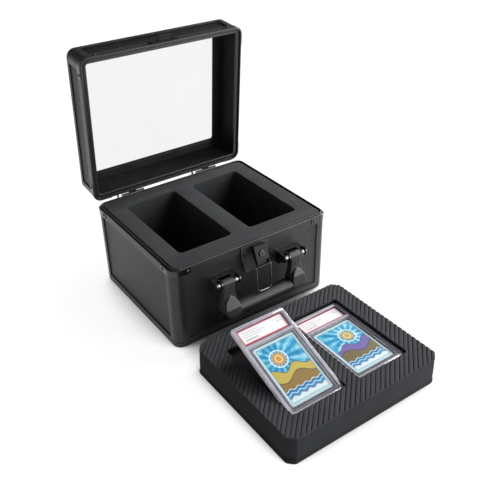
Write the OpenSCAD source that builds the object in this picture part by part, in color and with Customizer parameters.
// Trading card display case: an aluminium-framed box with a windowed lid,
// a foam block with two storage wells, and a loose foam tray that shows two
// graded cards. Millimetres. The origin is the centre of the case's base, on
// the floor. X runs right along the front, Y runs to the back, Z up.
// The lid is drawn closed and then turned to the angle it stands open at.

/* [Case] */
// Width of the case over its frame
case_w = 264.6; // [240:0.2:300]
// Depth of the case over its frame
case_d = 225.8; // [205:0.2:260]
// Height of the body from the floor to the shoulder of its rim
rim_z = 130.3; // [118:0.1:150]
// Height of the lid from the rim to the top of the window frame
lid_h = 47.9; // [46.5:0.1:56]
// Outer radius of the upright corners
corner_r = 13; // [12:0.5:15]
// Angle the lid stands open at
open_angle = 85.3; // [70:0.1:88]

/* [Frame] */
// Thickness of the outer aluminium skin of every profile
skin = 1.4; // [1.2:0.1:1.6]
// Thickness of the textured wall panels
panel_t = 3.2; // [2.8:0.1:3.6]
// Height of the outer flange of both rims
rim_flange = 12.5; // [11:0.5:15]
// Width of each flange of the corner posts
post_flange = 18; // [16:0.5:22]
// Height of the tongue that stands on the body's rim
tongue_h = 2.6; // [2:0.1:2.8]
// Length of each leg of the rim's corner plates
plate_leg = 29; // [24:0.5:34]

/* [Window] */
// Width of the frame round the window
window_border = 23; // [21:0.5:27]
// Thickness of the clear pane
pane_t = 1.8; // [1.5:0.1:2]

/* [Foam block] */
// Width of each storage well
well_w = 82.6; // [76:0.2:88]
// Length of each storage well
well_l = 159; // [145:0.5:170]
// Foam between the two wells
well_gap = 32.1; // [24:0.1:40]
// Foam left under the wells
well_floor = 12; // [8:0.5:20]

/* [Tray] */
// Width of the tray
tray_w = 242.6; // [236:0.2:243]
// Depth of the tray
tray_d = 201.3; // [192:0.1:202]
// Height of the tray
tray_h = 41.8; // [38:0.1:42]
// Where the tray's middle lies to the right of the case's middle
tray_x = -10.2; // [-40:0.1:40]
// Gap on the table from the case's front to the tray
tray_gap = 50.2; // [45:0.1:80]
// Spacing of the slanting ribs, square to them
rib_pitch = 5.86; // [5:0.01:8]
// Depth of the grooves between the ribs
rib_depth = 1.4; // [1:0.1:2]
// Depth of the two card pockets
pocket_depth = 12; // [11:0.5:15]

/* [Graded card] */
// Width of a card holder
slab_w = 82.5; // [81:0.1:83]
// Length of a card holder
slab_l = 136.5; // [134:0.1:138]
// Thickness of a card holder
slab_t = 6.4; // [6:0.1:7]
// Height of the label in a card holder
label_l = 20.5; // [19:0.1:22]
// Tilt of the left card holder, its label end raised
slab_tilt = 19.7; // [12:0.1:21]

/* [Latch] */
// Width of the latch plate at its top
latch_w = 46.5; // [42:0.5:50]
// Height of the latch plate
latch_h = 43; // [40:0.5:46]
// Length of the bail from its pivot to its far wire
bail_l = 39; // [38.4:0.2:39.2]
// Diameter of the bail's wire
wire_d = 2.5; // [2.2:0.1:2.8]

/* [Handle] */
// Distance between the middles of the two handle arms
arm_spacing = 116; // [104:1:120]
// How far the handle's middle lies to the right of the case's middle
handle_x = 1; // [-2:0.5:2]
// Width of each handle arm at the grip
arm_w = 24; // [22:0.5:25]
// Width of each handle arm at its pin
arm_top_w = 18; // [16:0.5:19]
// Distance from the handle's pins to the middle of the grip
arm_l = 45; // [45:0.1:47]
// Diameter of the grip
grip_d = 22.4; // [20:0.2:22.4]

/* [Hidden] */
$fn = 64;
eps = 0.01;

// Wall make-up, as distances inward from the outer face
panel_in = skin + panel_t;
wall_t = panel_in + 1.2;
base_flange = 11.5;
base_ledge_t = 1.2;
base_panel_t = 3;
base_web = base_panel_t + base_ledge_t;
base_ledge_in = corner_r - 1;
web_t = 1.6;
foam_gap = 0.3;
foam_proud = 1.2;
half_w = case_w / 2;
half_d = case_d / 2;

// Rim of the body: the tongue, seen in section
tongue_in = 2.6;
tongue_t = 1.3;

// Lid section, measured up from the body's shoulder
lid_gap = 0.4;
groove_top = 3.6;
groove_in = 2.2;
groove_out = 5.6;
bead_z = 2.2;
bead_r = 1.2;
lid_web_top = 5;
lid_wall = 9.4;
liner_in = wall_t + 0.2;
frame_sheet = 1.2;
lip_t = 0.2;
frame_flange = 9.4;
frame_round = 4;
frame_web = 2.6;
retainer_t = 0.9;
pane_top = lid_h - frame_sheet - lip_t;
pane_z = pane_top - pane_t;
retainer_top = pane_z - lip_t;
retainer_z = retainer_top - retainer_t;
pane_in = window_border - 3.4;
seal_in = pane_in - 1.8;

// Hinges on the back
hinge_out = 3.15;
hinge_down = 0.9;
hinge_y = half_d + hinge_out;
hinge_z = rim_z - hinge_down;
knuckle_r = 2.9;
hinge_pin_r = 1.4;
hinge_w = 37.5;
hinge_tab = 7.5;
leaf_t = 1.2;
leaf_h = 11.2;
hinge_left_inset = 64;
hinge_right_inset = 66;
hinge_left_x = hinge_left_inset - half_w;
hinge_right_x = half_w - hinge_right_inset;
leaf_rivet_inset = leaf_h / 3;
leaf_rivet_r = 1.9;
hinge_pin_end = 0.6;
pin_clear = 0.05;

// Latch, as distances in front of the case's front face
lever_f = 8;
lever_z = rim_z - 4.8;
lever_pin_r = 1.2;
roll_f = 22;
roll_drop = 29.3;
roll_z = rim_z - roll_drop;
roll_r = 3;
lever_half = 10.4;
lever_wall = 1.3;
ear_t = 1.5;
ear_x = lever_half - lever_wall - ear_t / 2 - 0.25;
bail_half = 12.1;
latch_t = 1.6;
latch_top = rim_z - 3;
latch_bottom = latch_top - latch_h;
latch_taper = latch_w * 0.14;
latch_rivet_r = latch_w * 0.08;
latch_rivet_in = latch_w * 0.14;
latch_rivet_down = latch_h * 0.26;
latch_bore_l = latch_w;
lock_r = 3.8;
lock_l = 6;
bail_lean = 3.6;

// Catch on the lid
catch_w = 46;
hook_half = 9.8;
hook_up = 2.8;
catch_t = 1.2;

// Handle
grip_lean = 6;
pin_f = 16;
pin_drop = 37.3;
pin_z = rim_z - pin_drop;
handle_pin_r = 1.8;
hub_r = 6;
strap_half = 5.4;
grip_r = grip_d / 2;
arm_end_r = grip_r + 0.5;
cheek_t = 2.6;
cheek_gap = 0.4;
pin_head_r = 3.8;
pin_head_l = 5.2;
tenon_r = grip_r - 3;
tenon_l = 7.8;
bracket_w = 39;
bracket_h = 19.5;
bracket_f = 11;
bracket_roof_f = 6.2;
bracket_top = pin_z + 5.55;
grip_f = pin_f + arm_l * sin(grip_lean);
grip_z = pin_z - arm_l * cos(grip_lean);

// Tray and what lies in it
tray_y = -half_d - tray_gap - tray_d / 2;
tray_base_h = 6.5;
tray_sheet_h = 3.5;
tray_chamfer = 12.6;
pocket_w = slab_w + 0.8;
pocket_l = slab_l + 4.4;
pocket_gap = 21.9;
pocket_x = (pocket_w + pocket_gap) / 2;
pocket_floor = tray_h - pocket_depth;
slab_gap = 0.3;
card_side = 9.5;
card_y = 11;
card_t = 0.8;
label_side = 5.75;
label_end = 6.5;
label_to_card = 9.6;
label_w = slab_w - 2 * label_side;
label_y = slab_l - label_end - label_l;
card_w = slab_w - 2 * card_side;
card_l = label_y - label_to_card - card_y;

// Plan outlines and sections

// Rounded rectangle about the origin
module round_rect(w, d, r) {
    square([w - 2 * r, d], center = true);
    square([w, d - 2 * r], center = true);
    for (sx = [-1, 1], sy = [-1, 1])
        translate([sx * (w / 2 - r), sy * (d / 2 - r)]) circle(r);
}

// The case's outline, drawn in by a distance from its outer face
module case_outline(inset) {
    round_rect(case_w - 2 * inset, case_d - 2 * inset, max(corner_r - inset, 1.2));
}

// Band between two distances inward from the outer face
module case_band(from_in, to_in) {
    difference() {
        case_outline(from_in);
        case_outline(to_in);
    }
}

// Square that keeps one corner of the case; sx and sy name the corner
module corner_square(sx, sy, leg, spare = 4) {
    translate([sx * (half_w + spare - (leg + spare) / 2), sy * (half_d + spare - (leg + spare) / 2)])
        square([leg + spare, leg + spare], center = true);
}

// Sweep a section round the case; in the section x is the distance inward, y is up
module case_sweep() {
    for (k = [0:3]) {
        run = k % 2 == 0 ? case_w : case_d;
        away = k % 2 == 0 ? half_d : half_w;
        rotate([0, 0, 90 * k]) {
            translate([-(run / 2 - corner_r), -away, 0])
                rotate([90, 0, 90]) linear_extrude(run - 2 * corner_r) children();
            translate([-(run / 2 - corner_r), corner_r - away, 0])
                rotate([0, 0, 180]) rotate_extrude(angle = 90)
                    translate([corner_r, 0]) mirror([1, 0]) children();
        }
    }
}

// What a rounding of radius r takes off the corner of a section at the origin
module rounding(r) {
    difference() {
        translate([-1, -1]) square(r + 1);
        translate([r, r]) circle(r);
    }
}

// Two round ends joined by their outer tangents
module tapered_bar(a, ra, b, rb) {
    run = norm(b - a);
    heading = atan2(b[1] - a[1], b[0] - a[0]);
    spread = acos((ra - rb) / run);
    translate(a) circle(ra);
    translate(b) circle(rb);
    polygon([
        a + (ra - eps) * [cos(heading + spread), sin(heading + spread)],
        b + (rb - eps) * [cos(heading + spread), sin(heading + spread)],
        b + (rb - eps) * [cos(heading - spread), sin(heading - spread)],
        a + (ra - eps) * [cos(heading - spread), sin(heading - spread)]
    ]);
}

// Extrude a side profile along X; its x points to the front, its y is height
module from_side(width) {
    translate([width / 2, 0, 0]) rotate([90, 0, -90]) linear_extrude(width) children();
}

// The same, with the profile's x counted from the case's front face
module in_front(width) {
    translate([0, -half_d, 0]) from_side(width) children();
}

// Round rod along X in front of the case
module cross_rod(f, z, r, width) {
    translate([-width / 2, -half_d - f, z]) rotate([0, 90, 0]) cylinder(r = r, h = width);
}

// Domed blind rivet: the head stands out along +Z, the shank goes down into the work
module rivet(head_r, shank) {
    rotate_extrude() {
        intersection() {
            translate([0, -head_r * 1.2]) circle(head_r * 1.75);
            square([head_r, head_r]);
        }
        translate([0, -shank]) square([head_r / 2, shank + eps]);
    }
}

// Turn what is drawn closed to the lid's open pose
module lid_open() {
    translate([0, hinge_y, hinge_z]) rotate([-open_angle, 0, 0])
        translate([0, -hinge_y, -hinge_z]) children();
}

// Places of the corner plates' rivets: two on each corner, one on each face
module on_corner_faces(z) {
    along = plate_leg - 5;
    for (sx = [-1, 1], sy = [-1, 1]) {
        translate([sx * (half_w - along), sy * half_d, z]) rotate([-90 * sy, 0, 0]) children();
        translate([sx * half_w, sy * (half_d - along), z]) rotate([0, 90 * sx, 0]) children();
    }
}

// Frame pieces of body and lid

// Corner post: skin with two flanges, solid heel and inner flanges that pinch the panels
module post(sx, sy, z, h) {
    heel = corner_r + 0.3;
    color("#2f3034") translate([0, 0, z]) linear_extrude(h) {
        intersection() {
            case_band(0, skin);
            corner_square(sx, sy, post_flange);
        }
        intersection() {
            case_band(skin - eps, wall_t);
            corner_square(sx, sy, heel);
        }
        intersection() {
            case_band(panel_in, wall_t);
            corner_square(sx, sy, post_flange);
        }
    }
}

// Textured panel on one of the four walls, between two heights
module wall_panel(side, z, h) {
    run = side % 2 == 0 ? case_w : case_d;
    away = side % 2 == 0 ? half_d : half_w;
    color("#3a3b3f") rotate([0, 0, 90 * side])
        translate([-(run / 2 - corner_r - 0.3), skin - away, z])
            cube([run - 2 * corner_r - 0.6, panel_t, h]);
}

// Corner plates of one rim
module corner_plates(z) {
    h = rim_flange - 3.5;
    color("#2b2c30") difference() {
        translate([0, 0, z]) linear_extrude(h)
            for (sx = [-1, 1], sy = [-1, 1])
                intersection() {
                    case_band(-0.8, 0);
                    corner_square(sx, sy, plate_leg);
                }
        on_corner_faces(z + h / 2) translate([0, 0, -3]) cylinder(r = 1.1, h = 6);
    }
}

module corner_rivets(z) {
    on_corner_faces(z + (rim_flange - 3.5) / 2) translate([0, 0, 0.8]) rivet(2.2, 0.8 + skin);
}

body_plate_z = rim_z - rim_flange + 2.2;
lid_plate_z = rim_z + 1.4;
panel_z = base_web;
body_panel_h = rim_z - web_t - panel_z;
lid_panel_z = rim_z + lid_web_top;
lid_panel_h = lid_h - frame_sheet - frame_web - lid_web_top;
body_post_z = base_flange;
body_post_h = rim_z - rim_flange - body_post_z;
lid_post_z = rim_z + rim_flange;
lid_post_h = lid_h - frame_flange - rim_flange;

// Base panel, rebated so that the frame's ledge laps over its edge
module base_panel() {
    color("#26272a") {
        linear_extrude(base_panel_t) case_outline(wall_t + 0.1);
        linear_extrude(base_web) case_outline(base_ledge_in + 0.1);
    }
}

module bottom_frame() {
    groove_w = 0.8;
    groove_z = base_flange - 4.1;
    color("#2f3034") case_sweep() difference() {
        union() {
            square([wall_t, base_web]);
            square([skin, base_flange]);
            translate([panel_in, 0]) square([wall_t - panel_in, base_flange - 3]);
            translate([0, base_panel_t]) square([base_ledge_in, base_ledge_t]);
        }
        rounding(4);
        translate([-1, groove_z]) square([1.5, groove_w]);
    }
}

module body_rim() {
    color("#333438") difference() {
        translate([0, 0, rim_z]) case_sweep() {
            difference() {
                union() {
                    translate([0, -rim_flange]) square([skin, rim_flange]);
                    translate([0, -web_t]) square([wall_t, web_t]);
                }
                mirror([0, 1]) rounding(1.2);
            }
            translate([panel_in, -rim_flange + 2]) square([wall_t - panel_in, rim_flange - 2]);
            translate([tongue_in, -eps]) square([tongue_t, tongue_h - tongue_t / 2 + eps]);
            translate([tongue_in + tongue_t / 2, tongue_h - tongue_t / 2]) circle(tongue_t / 2);
        }
        on_corner_faces(body_plate_z + (rim_flange - 3.5) / 2)
            translate([0, 0, -skin - 0.2]) cylinder(r = 1.1, h = 6);
    }
}

module foam_block() {
    foam_in = wall_t + foam_gap;
    foam_z = base_web;
    foam_top = rim_z + foam_proud;
    color("#3c3d40") difference() {
        translate([0, 0, foam_z]) linear_extrude(foam_top - foam_z) case_outline(foam_in);
        for (sx = [-1, 1])
            translate([sx * (well_w + well_gap) / 2, 0, foam_z + well_floor])
                linear_extrude(foam_top) round_rect(well_w, well_l, 6);
    }
}

// Latch

// Latch plate: narrows to its foot, a spacer behind it fills the depth of the panel,
// and two ears carry the lever's pin
module latch_plate() {
    half = latch_w / 2;
    foot = half - latch_taper;
    waist = latch_bottom + latch_h * 0.6;
    inset = 3;
    corner = 1.5;
    ear_foot = lever_z - 7.4;
    color("#2a2b2e") difference() {
        union() {
            translate([0, -half_d, 0]) rotate([90, 0, 0]) linear_extrude(latch_t) polygon([
                [-half, latch_top], [half, latch_top], [half, waist],
                [foot, latch_bottom + corner], [foot - corner, latch_bottom],
                [corner - foot, latch_bottom], [-foot, latch_bottom + corner], [-half, waist]
            ]);
            translate([0, -half_d + skin, 0]) rotate([90, 0, 0]) linear_extrude(skin) polygon([
                [inset - half, rim_z - rim_flange - 0.2], [half - inset, rim_z - rim_flange - 0.2],
                [foot - inset, latch_bottom + inset], [inset - foot, latch_bottom + inset]
            ]);
            for (sx = [-1, 1]) translate([sx * ear_x, 0, 0]) in_front(ear_t) {
                tapered_bar([lever_f, lever_z], lever_pin_r + 0.9, [latch_t + 1.6, ear_foot], 1.6);
                translate([latch_t - 0.4, ear_foot - 3]) square([2, 5]);
            }
        }
        cross_rod(lever_f, lever_z, lever_pin_r + pin_clear, latch_bore_l);
        on_latch_rivets() translate([0, 0, -skin - 0.2])
            cylinder(r = latch_rivet_r / 2, h = 2 * (latch_t + skin));
    }
}

// Places of the latch plate's rivets
module on_latch_rivets() {
    for (sx = [-1, 1])
        translate([sx * (latch_w / 2 - latch_rivet_in), -half_d, latch_top - latch_rivet_down])
            rotate([90, 0, 0]) children();
}

module body_rivets() {
    color("#6a6b70") {
        corner_rivets(body_plate_z);
        on_latch_rivets() translate([0, 0, latch_t]) rivet(latch_rivet_r, latch_t);
        for (x = [hinge_left_x, hinge_right_x])
            on_leaf_rivets(x, hinge_z - leaf_h + leaf_rivet_inset)
                translate([0, 0, leaf_t]) rivet(leaf_rivet_r, leaf_t);
    }
}

module latch_pin() {
    color("#8d8e92") cross_rod(lever_f, lever_z, lever_pin_r, 2 * lever_half);
}

// Corners of the lever's front face, from its top edge to the roll
lever_top = [lever_f + 6.4, lever_z + 4.6];
lever_low = [roll_f + 2, roll_z + 2.2];

// Side profile of the lever: a channel that widens towards the roll
module lever_side() {
    translate([lever_f, lever_z]) circle(3.7);
    polygon([
        [lever_f, lever_z - 3.7], [lever_f, lever_z + 3.7], lever_top - [1.2, 0], lever_top - [0, 1.2],
        lever_low, [roll_f, roll_z], [roll_f - 4.5, roll_z + 4]
    ]);
}

// Lever: a channel hollow towards the case, its face cut short of the roll
module latch_lever() {
    lip = lever_top + 0.74 * (lever_low - lever_top);
    color("#2a2b2e") difference() {
        union() {
            in_front(2 * lever_half) lever_side();
            cross_rod(roll_f, roll_z, roll_r, 2 * lever_half);
        }
        difference() {
            in_front(2 * (lever_half - lever_wall)) {
                polygon([
                    [lever_f - 5, lever_z - 12], [lever_f - 5, lever_z + 2.8], [lever_f + 5, lever_z + 2.8],
                    [roll_f - 2.4, roll_z + 4.5], [roll_f - 6, roll_z + 2]
                ]);
                polygon([
                    lip + [2, 0], lip - [6, 0], [roll_f - 5, roll_z + 1], [roll_f + 4, roll_z + 1]
                ]);
            }
            cross_rod(roll_f, roll_z, roll_r, 2 * lever_half);
        }
        cross_rod(lever_f, lever_z, lever_pin_r + 0.07, latch_bore_l);
        cross_rod(roll_f, roll_z, wire_d / 2 + 0.06, latch_bore_l);
        lock_place() translate([0, 0, -lock_l]) cylinder(r = lock_r, h = 2 * lock_l);
    }
}

// Turn +Z square to the lever's front face, at the middle of what is left of it
module lock_place() {
    slope = atan2(lever_low[0] - lever_top[0], lever_top[1] - lever_low[1]);
    mid = lever_top + 0.4 * (lever_low - lever_top);
    translate([0, -half_d - mid[0], mid[1]]) rotate([90 - slope, 0, 0]) children();
}

// Lock barrel in a collar on the lever's face, with its keyway
module lock_barrel() {
    collar = lock_r + 1;
    color("#77787c") lock_place() difference() {
        rotate_extrude() polygon([
            [0, 1 - lock_l], [lock_r, 1 - lock_l], [lock_r, 0.25], [collar, 0.25],
            [collar, 0.9], [collar - 0.6, 1.4], [0, 1.4]
        ]);
        translate([-0.6, -lock_r / 2, 0.4]) cube([1.2, lock_r, 3]);
    }
}

// Wire loop: through the roll, down both legs and across with its corners cut
module bail() {
    r = wire_d / 2;
    cut = 4.5;
    path = [
        [-bail_half, 0], [bail_half, 0], [bail_half, cut - bail_l], [bail_half - cut, -bail_l],
        [cut - bail_half, -bail_l], [-bail_half, cut - bail_l]
    ];
    color("#9a9ba0") translate([0, -half_d - roll_f, roll_z]) rotate([90 - bail_lean, 0, 0])
        for (i = [0:len(path) - 1]) {
            a = path[i];
            b = path[(i + 1) % len(path)];
            translate([a[0], a[1], 0]) {
                sphere(r);
                rotate([0, 90, atan2(b[1] - a[1], b[0] - a[0])]) cylinder(r = r, h = norm(b - a));
            }
        }
}

// Handle

// Bracket: a block on the panel with a slot for the arm, and two ears on each side of it
// that leave the pin's bright cap showing between them
module handle_bracket(sx) {
    slot = arm_top_w / 2 + cheek_gap;
    outer_t = bracket_w / 2 - slot - cheek_t - pin_head_l - 0.4;
    low = bracket_top - bracket_h;
    color("#26272a") translate([handle_x + sx * arm_spacing / 2, 0, 0]) difference() {
        union() {
            difference() {
                in_front(bracket_w) polygon([
                    [-skin, low], [-skin, bracket_top], [bracket_f - 3, bracket_top],
                    [bracket_f, bracket_top - 2.4], [bracket_f, pin_z - hub_r], [bracket_f / 2, low]
                ]);
                in_front(2 * slot) translate([bracket_roof_f, low - 1]) square([bracket_f, bracket_h + 2]);
            }
            for (side = [-1, 1]) {
                translate([side * (slot + cheek_t / 2), 0, 0]) in_front(cheek_t) ear_side();
                translate([side * (bracket_w - outer_t) / 2, 0, 0]) in_front(outer_t) ear_side();
            }
        }
        cross_rod(pin_f, pin_z, handle_pin_r + pin_clear, bracket_w + 2);
    }
}

module ear_side() {
    tapered_bar([pin_f, pin_z], hub_r, [bracket_roof_f, bracket_top - 8], 7);
}

// Pins with a bright cap outside each inner ear
module handle_pins() {
    reach = arm_top_w / 2 + cheek_gap + cheek_t;
    cap_round = 1.5;
    color("#b9babd") for (sx = [-1, 1]) translate([handle_x + sx * arm_spacing / 2, -half_d - pin_f, pin_z]) {
        rotate([0, 90, 0]) cylinder(r = handle_pin_r, h = bracket_w - 0.6, center = true);
        for (side = [-1, 1]) rotate([0, 90 * side, 0]) translate([0, 0, reach + 0.1]) rotate_extrude() {
            square([pin_head_r, pin_head_l - cap_round]);
            square([pin_head_r - cap_round, pin_head_l]);
            translate([pin_head_r - cap_round, pin_head_l - cap_round]) circle(cap_round);
        }
    }
}

// Arm hanging from its pin at the origin: a strap that widens, with an arched boss
// that swells forward and rounds off about the grip
module handle_arm(sx) {
    half = arm_w / 2;
    top_half = arm_top_w / 2;
    flare = 2 * hub_r;
    bottom = arm_l + arm_end_r;
    elbow = 0.75 * arm_w;
    arch_z = elbow - bottom + 1.5;
    color("#1d1e20") translate([handle_x + sx * arm_spacing / 2, -half_d - pin_f, pin_z])
        rotate([-grip_lean, 0, 0]) difference() {
            union() {
                rotate([0, 90, 0]) cylinder(r = hub_r, h = arm_top_w, center = true);
                intersection() {
                    from_side(arm_w) translate([-strap_half, -arm_l]) square([2 * strap_half, arm_l]);
                    rotate([90, 0, 0]) linear_extrude(2 * hub_r, center = true) polygon([
                        [-top_half, 0], [-top_half, -flare], [-half, -arm_l + flare], [-half, -arm_l],
                        [half, -arm_l], [half, -arm_l + flare], [top_half, -flare], [top_half, 0]
                    ]);
                }
                intersection() {
                    from_side(arm_w)
                        tapered_bar([0, 2 * arm_end_r - arm_l], strap_half + 2.6, [0, -arm_l], arm_end_r);
                    rotate([90, 0, 0]) linear_extrude(2 * bottom, center = true) intersection() {
                        union() {
                            translate([-half, elbow - bottom]) square([arm_w, arch_z + bottom - elbow]);
                            intersection() {
                                translate([half - elbow, arch_z]) circle(elbow);
                                translate([elbow - half, arch_z]) circle(elbow);
                            }
                            translate([sx * (half - elbow), elbow - bottom]) circle(elbow);
                            translate([sx > 0 ? -half : elbow - half, -bottom])
                                square([arm_w - elbow, elbow]);
                        }
                        square([arm_w, 4 * arm_l], center = true);
                    }
                }
            }
            rotate([0, 90, 0]) cylinder(r = handle_pin_r + 0.07, h = bracket_w, center = true);
            translate([-sx * half, 0, -arm_l]) rotate([0, 90 * sx, 0])
                translate([0, 0, -1]) cylinder(r = tenon_r + pin_clear, h = tenon_l + 1.2);
        }
}

module handle_grip() {
    inner = (arm_spacing - arm_w) / 2;
    color("#1b1c1e") translate([handle_x, -half_d - grip_f, grip_z]) rotate([0, 90, 0]) {
        cylinder(r = grip_r, h = 2 * inner, center = true);
        cylinder(r = tenon_r, h = 2 * (inner + tenon_l), center = true);
    }
}

// Hinges

// Knuckles along X at the hinge axis; each is [start, length] from the hinge's left end
module knuckles(x, spans) {
    for (s = spans)
        translate([x + s[0], hinge_y, hinge_z]) rotate([0, 90, 0]) cylinder(r = knuckle_r, h = s[1]);
}

knuckle_w = hinge_w / 3;
knuckle_gap = 0.15;
stop_t = 1.6;

// Places of the rivets on a hinge leaf
module on_leaf_rivets(x, z) {
    for (side = [-1, 0, 1])
        translate([x + side * (hinge_w / 2 - 5), half_d, z]) rotate([-90, 0, 0]) children();
}

// Leaf on the body, with a stop at its left end that the open lid leans on
module body_leaf(x) {
    left = x - hinge_w / 2;
    spans = [[0, knuckle_w - knuckle_gap], [2 * knuckle_w + knuckle_gap, knuckle_w - knuckle_gap]];
    color("#4b4c50") difference() {
        union() {
            translate([left - hinge_tab, half_d, hinge_z - leaf_h])
                cube([hinge_w + hinge_tab, leaf_t, leaf_h - 3.2]);
            for (s = spans) translate([left + s[0], half_d, hinge_z - 4]) cube([s[1], leaf_t, 4]);
            translate([left - hinge_tab, half_d, hinge_z - 4]) cube([stop_t, hinge_out + 3.6, 4.4]);
            translate([left - hinge_tab, hinge_y - 0.4, hinge_z - 4]) cube([stop_t, 4, 4 + hinge_out - 0.1]);
            knuckles(left, spans);
        }
        translate([left - 1, hinge_y, hinge_z]) rotate([0, 90, 0])
            cylinder(r = hinge_pin_r + pin_clear, h = hinge_w + 2);
        on_leaf_rivets(x, hinge_z - leaf_h + leaf_rivet_inset)
            translate([0, 0, -1]) cylinder(r = leaf_rivet_r / 2, h = 5);
    }
}

module lid_leaf(x) {
    left = x - hinge_w / 2;
    span = [knuckle_w + knuckle_gap, knuckle_w - 2 * knuckle_gap];
    color("#4b4c50") lid_open() difference() {
        union() {
            translate([left, half_d, rim_z + 2.4]) cube([hinge_w, leaf_t, leaf_h - 2.2]);
            translate([left + span[0], half_d, hinge_z]) cube([span[1], leaf_t, rim_z - hinge_z + 3]);
            knuckles(left, [span]);
        }
        translate([left - 1, hinge_y, hinge_z]) rotate([0, 90, 0])
            cylinder(r = hinge_pin_r + 0.07, h = hinge_w + 2);
        on_leaf_rivets(x, rim_z + leaf_h - leaf_rivet_inset)
            translate([0, 0, -1]) cylinder(r = leaf_rivet_r / 2, h = 5);
    }
}

module hinge_pins() {
    color("#a4a5a9") for (x = [hinge_left_x, hinge_right_x])
        translate([x - hinge_w / 2 - hinge_pin_end, hinge_y, hinge_z]) rotate([0, 90, 0]) {
            cylinder(r = hinge_pin_r, h = hinge_w + 2 * hinge_pin_end);
            translate([0, 0, -hinge_pin_r / 2]) cylinder(r = hinge_pin_r * 1.5, h = hinge_pin_r / 2);
        }
}

// Lid

module lid_rim() {
    color("#333438") lid_open() difference() {
        translate([0, 0, rim_z]) case_sweep() {
            difference() {
                union() {
                    translate([0, lid_gap]) square([skin, rim_flange - lid_gap]);
                    translate([0, lid_gap]) square([groove_in, groove_top]);
                    translate([0, groove_top]) square([lid_wall, lid_web_top - groove_top]);
                    translate([groove_out, bead_z + bead_r]) square([lid_wall - groove_out, 1]);
                    translate([groove_out + bead_r, bead_z]) square([lid_wall - groove_out - 2 * bead_r, 2]);
                    for (n = [groove_out + bead_r, lid_wall - bead_r])
                        translate([n, bead_z + bead_r]) circle(bead_r);
                    translate([panel_in, groove_top])
                        square([wall_t - panel_in, rim_flange - groove_top - 2]);
                }
                translate([0, lid_gap]) rounding(1.2);
            }
        }
        on_corner_faces(lid_plate_z + (rim_flange - 3.5) / 2)
            translate([0, 0, -skin - 0.2]) cylinder(r = 1.1, h = 6);
        on_catch_rivets() translate([0, 0, -skin - 0.2]) cylinder(r = 1.3, h = 6);
    }
}

module lid_post(sx, sy) {
    lid_open() post(sx, sy, lid_post_z, lid_post_h);
}

module lid_panel(side) {
    lid_open() wall_panel(side, lid_panel_z, lid_panel_h);
}

module lid_lining() {
    color("#303134") lid_open() translate([0, 0, rim_z + lid_web_top])
        linear_extrude(retainer_z - lid_web_top) case_band(liner_in, lid_wall);
}

module window_frame() {
    color("#2d2e32") lid_open() translate([0, 0, rim_z]) {
        case_sweep() {
            difference() {
                union() {
                    translate([0, lid_h - frame_flange]) square([skin, frame_flange]);
                    translate([0, lid_h - frame_sheet]) square([corner_r - 2, frame_sheet]);
                    translate([0, lid_h - frame_sheet - frame_web]) square([wall_t, frame_web + eps]);
                }
                translate([0, lid_h]) mirror([0, 1]) rounding(frame_round);
                translate([-1, lid_h - frame_flange + 2.6]) square([1.5, 0.8]);
            }
            translate([panel_in, lid_h - frame_flange]) square([wall_t - panel_in, frame_flange - 0.5]);
        }
        translate([0, 0, lid_h - frame_sheet]) linear_extrude(frame_sheet) difference() {
            case_outline(corner_r - 3);
            window_opening(0);
        }
    }
}

// Opening of the window, grown by a margin
module window_opening(margin) {
    round_rect(case_w - 2 * (window_border - margin), case_d - 2 * (window_border - margin), 4 + margin / 4);
}

module window_seal() {
    lip = 0.5;
    color("#141416") lid_open() translate([0, 0, rim_z]) {
        translate([0, 0, retainer_top]) linear_extrude(pane_top + lip_t - retainer_top) difference() {
            window_opening(window_border - seal_in);
            window_opening(window_border - pane_in);
        }
        for (z = [retainer_top, pane_top]) translate([0, 0, z]) linear_extrude(lip_t) difference() {
            window_opening(window_border - seal_in);
            window_opening(-lip);
        }
    }
}

module window_pane() {
    color("#e8eef2", 0.35) lid_open() translate([0, 0, rim_z + pane_z])
        linear_extrude(pane_t) window_opening(window_border - pane_in);
}

module pane_retainer() {
    color("#2b2c2f") lid_open() translate([0, 0, rim_z + retainer_z])
        linear_extrude(retainer_t) difference() {
            case_outline(liner_in);
            window_opening(1.6);
        }
}

// Places of the catch's rivets on the lid's front
module on_catch_rivets() {
    for (sx = [-1, 1])
        translate([sx * (catch_w / 2 - 5.5), -half_d, rim_z + 6.6]) rotate([90, 0, 0]) children();
}

// Catch: plate with a hook that the bail slips over, riveted through the lid's rim
module catch() {
    color("#46474b") lid_open() {
        difference() {
            union() {
                translate([-catch_w / 2, -half_d - catch_t, rim_z + 1])
                    cube([catch_w, catch_t, rim_flange - 1.6]);
                in_front(2 * hook_half) {
                    translate([catch_t - 0.2, rim_z + hook_up]) square([7.8, 2]);
                    translate([8, rim_z + hook_up + 1]) tapered_bar([0.9, 0], 1, [1.2, 8.8], 0.9);
                }
            }
            on_catch_rivets() translate([0, 0, -0.5]) cylinder(r = 1.3, h = 6);
        }
    }
}

module lid_rivets() {
    color("#6a6b70") lid_open() {
        corner_rivets(lid_plate_z);
        on_catch_rivets() translate([0, 0, catch_t]) rivet(2.6, catch_t + skin);
        for (x = [hinge_left_x, hinge_right_x])
            on_leaf_rivets(x, rim_z + leaf_h - leaf_rivet_inset)
                translate([0, 0, leaf_t]) rivet(leaf_rivet_r, leaf_t);
    }
}

// Tray

// Outline with cut corners
module chamfered_rect(w, d, c) {
    polygon([
        [c - w / 2, -d / 2], [w / 2 - c, -d / 2], [w / 2, c - d / 2], [w / 2, d / 2 - c],
        [w / 2 - c, d / 2], [c - w / 2, d / 2], [-w / 2, d / 2 - c], [-w / 2, c - d / 2]
    ]);
}

module tray_outline() {
    chamfered_rect(tray_w, tray_d, tray_chamfer);
}

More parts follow.
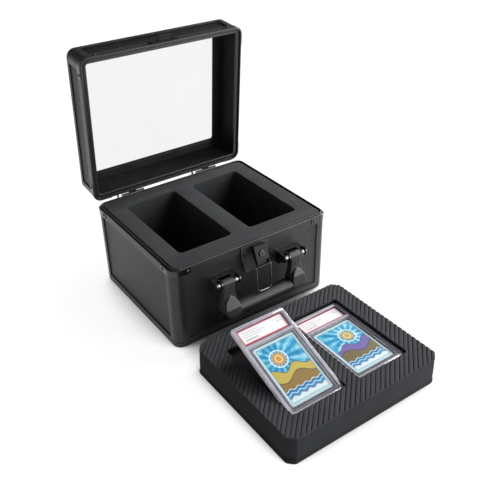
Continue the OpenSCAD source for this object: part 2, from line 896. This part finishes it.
module pockets() {
    for (sx = [-1, 1]) translate([sx * pocket_x, 0]) round_rect(pocket_w, pocket_l, 3);
}

module in_tray(z) {
    translate([tray_x, tray_y, z]) children();
}

module tray_base() {
    color("#35363a") in_tray(0) linear_extrude(tray_base_h)
        chamfered_rect(tray_w, tray_d, tray_chamfer - 1.2);
}

module tray_core() {
    top = tray_h - tray_sheet_h;
    color("#3a3b3f") in_tray(tray_base_h) difference() {
        linear_extrude(top - tray_base_h) tray_outline();
        translate([0, 0, pocket_floor - tray_base_h]) linear_extrude(tray_h) pockets();
    }
}

// Top sheet: flat below, slanting ribs above, both pockets cut through
module tray_ribbed_sheet() {
    flat = tray_sheet_h - rib_depth;
    reach = (tray_w + tray_d) / 2;
    count = floor(reach / sqrt(2) / rib_pitch);
    color("#44454a") in_tray(tray_h - tray_sheet_h) {
        linear_extrude(flat) difference() {
            tray_outline();
            pockets();
        }
        translate([0, 0, flat]) linear_extrude(rib_depth) intersection() {
            difference() {
                tray_outline();
                pockets();
            }
            rotate(45) for (i = [-count:count])
                translate([0, i * rib_pitch]) square([2 * reach, rib_pitch * 0.55], center = true);
        }
    }
}

// Graded card in its holder, lying flat: origin at the middle of its lower end, X right

module in_slab(sx) {
    lift = sx < 0 ? slab_t * sin(slab_tilt) + 1 : 2.2;
    in_tray(pocket_floor + slab_gap) translate([sx * pocket_x, lift - pocket_l / 2, 0])
        rotate([sx < 0 ? slab_tilt : 0, 0, 0]) children();
}

module slab_block(inset, z, h, r) {
    translate([0, slab_l / 2, z]) linear_extrude(h) round_rect(slab_w - 2 * inset, slab_l - 2 * inset, r);
}

module slab_window(w, l, y, z, h) {
    translate([0, y + l / 2, z]) linear_extrude(h) square([w, l], center = true);
}

insert_z = slab_t / 2 - 0.6;
insert_h = 1.2;

module slab_inserts() {
    slab_window(card_w + 0.6, card_l + 0.6, card_y - 0.3, insert_z, insert_h);
    slab_window(label_w + 0.6, label_l + 0.6, label_y - 0.3, insert_z, insert_h);
}

// Back half: flat, with a low rim that the front half sits on
module slab_back(sx) {
    color("#d5d4de", 0.5) in_slab(sx) difference() {
        slab_block(0, 0, slab_t / 2, 3);
        slab_inserts();
        slab_window(card_w, card_l, card_y, -1, 1.8);
    }
}

// Front half: raised rails round the label and the card
module slab_front(sx) {
    color("#dddce6", 0.5) in_slab(sx) difference() {
        slab_block(0, slab_t / 2, slab_t / 2, 3);
        slab_inserts();
        slab_window(card_w + 2, card_l + 2, card_y - 1, slab_t - 0.8, 2);
        slab_window(label_w + 2, label_l + 2, label_y - 1, slab_t - 0.8, 2);
    }
}

module slab_label(sx) {
    color("#f4f2f3") in_slab(sx) slab_window(label_w, label_l, label_y, insert_z + 0.2, card_t);
}

module slab_card(sx) {
    color("#8fdcf2") in_slab(sx) slab_window(card_w, card_l, card_y, insert_z + 0.2, card_t);
}

base_panel();
wall_panel(0, panel_z, body_panel_h);  // front_panel
wall_panel(1, panel_z, body_panel_h);  // right_panel
wall_panel(2, panel_z, body_panel_h);  // back_panel
wall_panel(3, panel_z, body_panel_h);  // left_panel
post(-1, -1, body_post_z, body_post_h);  // front_left_post
post(1, -1, body_post_z, body_post_h);  // front_right_post
post(-1, 1, body_post_z, body_post_h);  // back_left_post
post(1, 1, body_post_z, body_post_h);  // back_right_post
bottom_frame();
body_rim();
corner_plates(body_plate_z);  // rim_corner_plates
body_rivets();
foam_block();
latch_plate();
latch_pin();
handle_bracket(-1);  // left_handle_bracket
handle_bracket(1);  // right_handle_bracket
handle_pins();
body_leaf(hinge_left_x);  // left_body_leaf
body_leaf(hinge_right_x);  // right_body_leaf
hinge_pins();
lid_rim();
lid_panel(0);  // lid_front_panel
lid_panel(1);  // lid_right_panel
lid_panel(2);  // lid_back_panel
lid_panel(3);  // lid_left_panel
lid_post(-1, -1);  // lid_front_left_post
lid_post(1, -1);  // lid_front_right_post
lid_post(-1, 1);  // lid_back_left_post
lid_post(1, 1);  // lid_back_right_post
lid_lining();
window_frame();
window_seal();
window_pane();
pane_retainer();
lid_open() corner_plates(lid_plate_z);  // lid_corner_plates
lid_rivets();
catch();
lid_leaf(hinge_left_x);  // left_lid_leaf
lid_leaf(hinge_right_x);  // right_lid_leaf
handle_arm(-1);  // left_handle_arm
handle_arm(1);  // right_handle_arm
handle_grip();
latch_lever();
lock_barrel();
bail();
tray_base();
tray_core();
tray_ribbed_sheet();
slab_back(-1);  // left_slab_back
slab_front(-1);  // left_slab_front
slab_label(-1);  // left_label
slab_card(-1);  // left_card
slab_back(1);  // right_slab_back
slab_front(1);  // right_slab_front
slab_label(1);  // right_label
slab_card(1);  // right_card
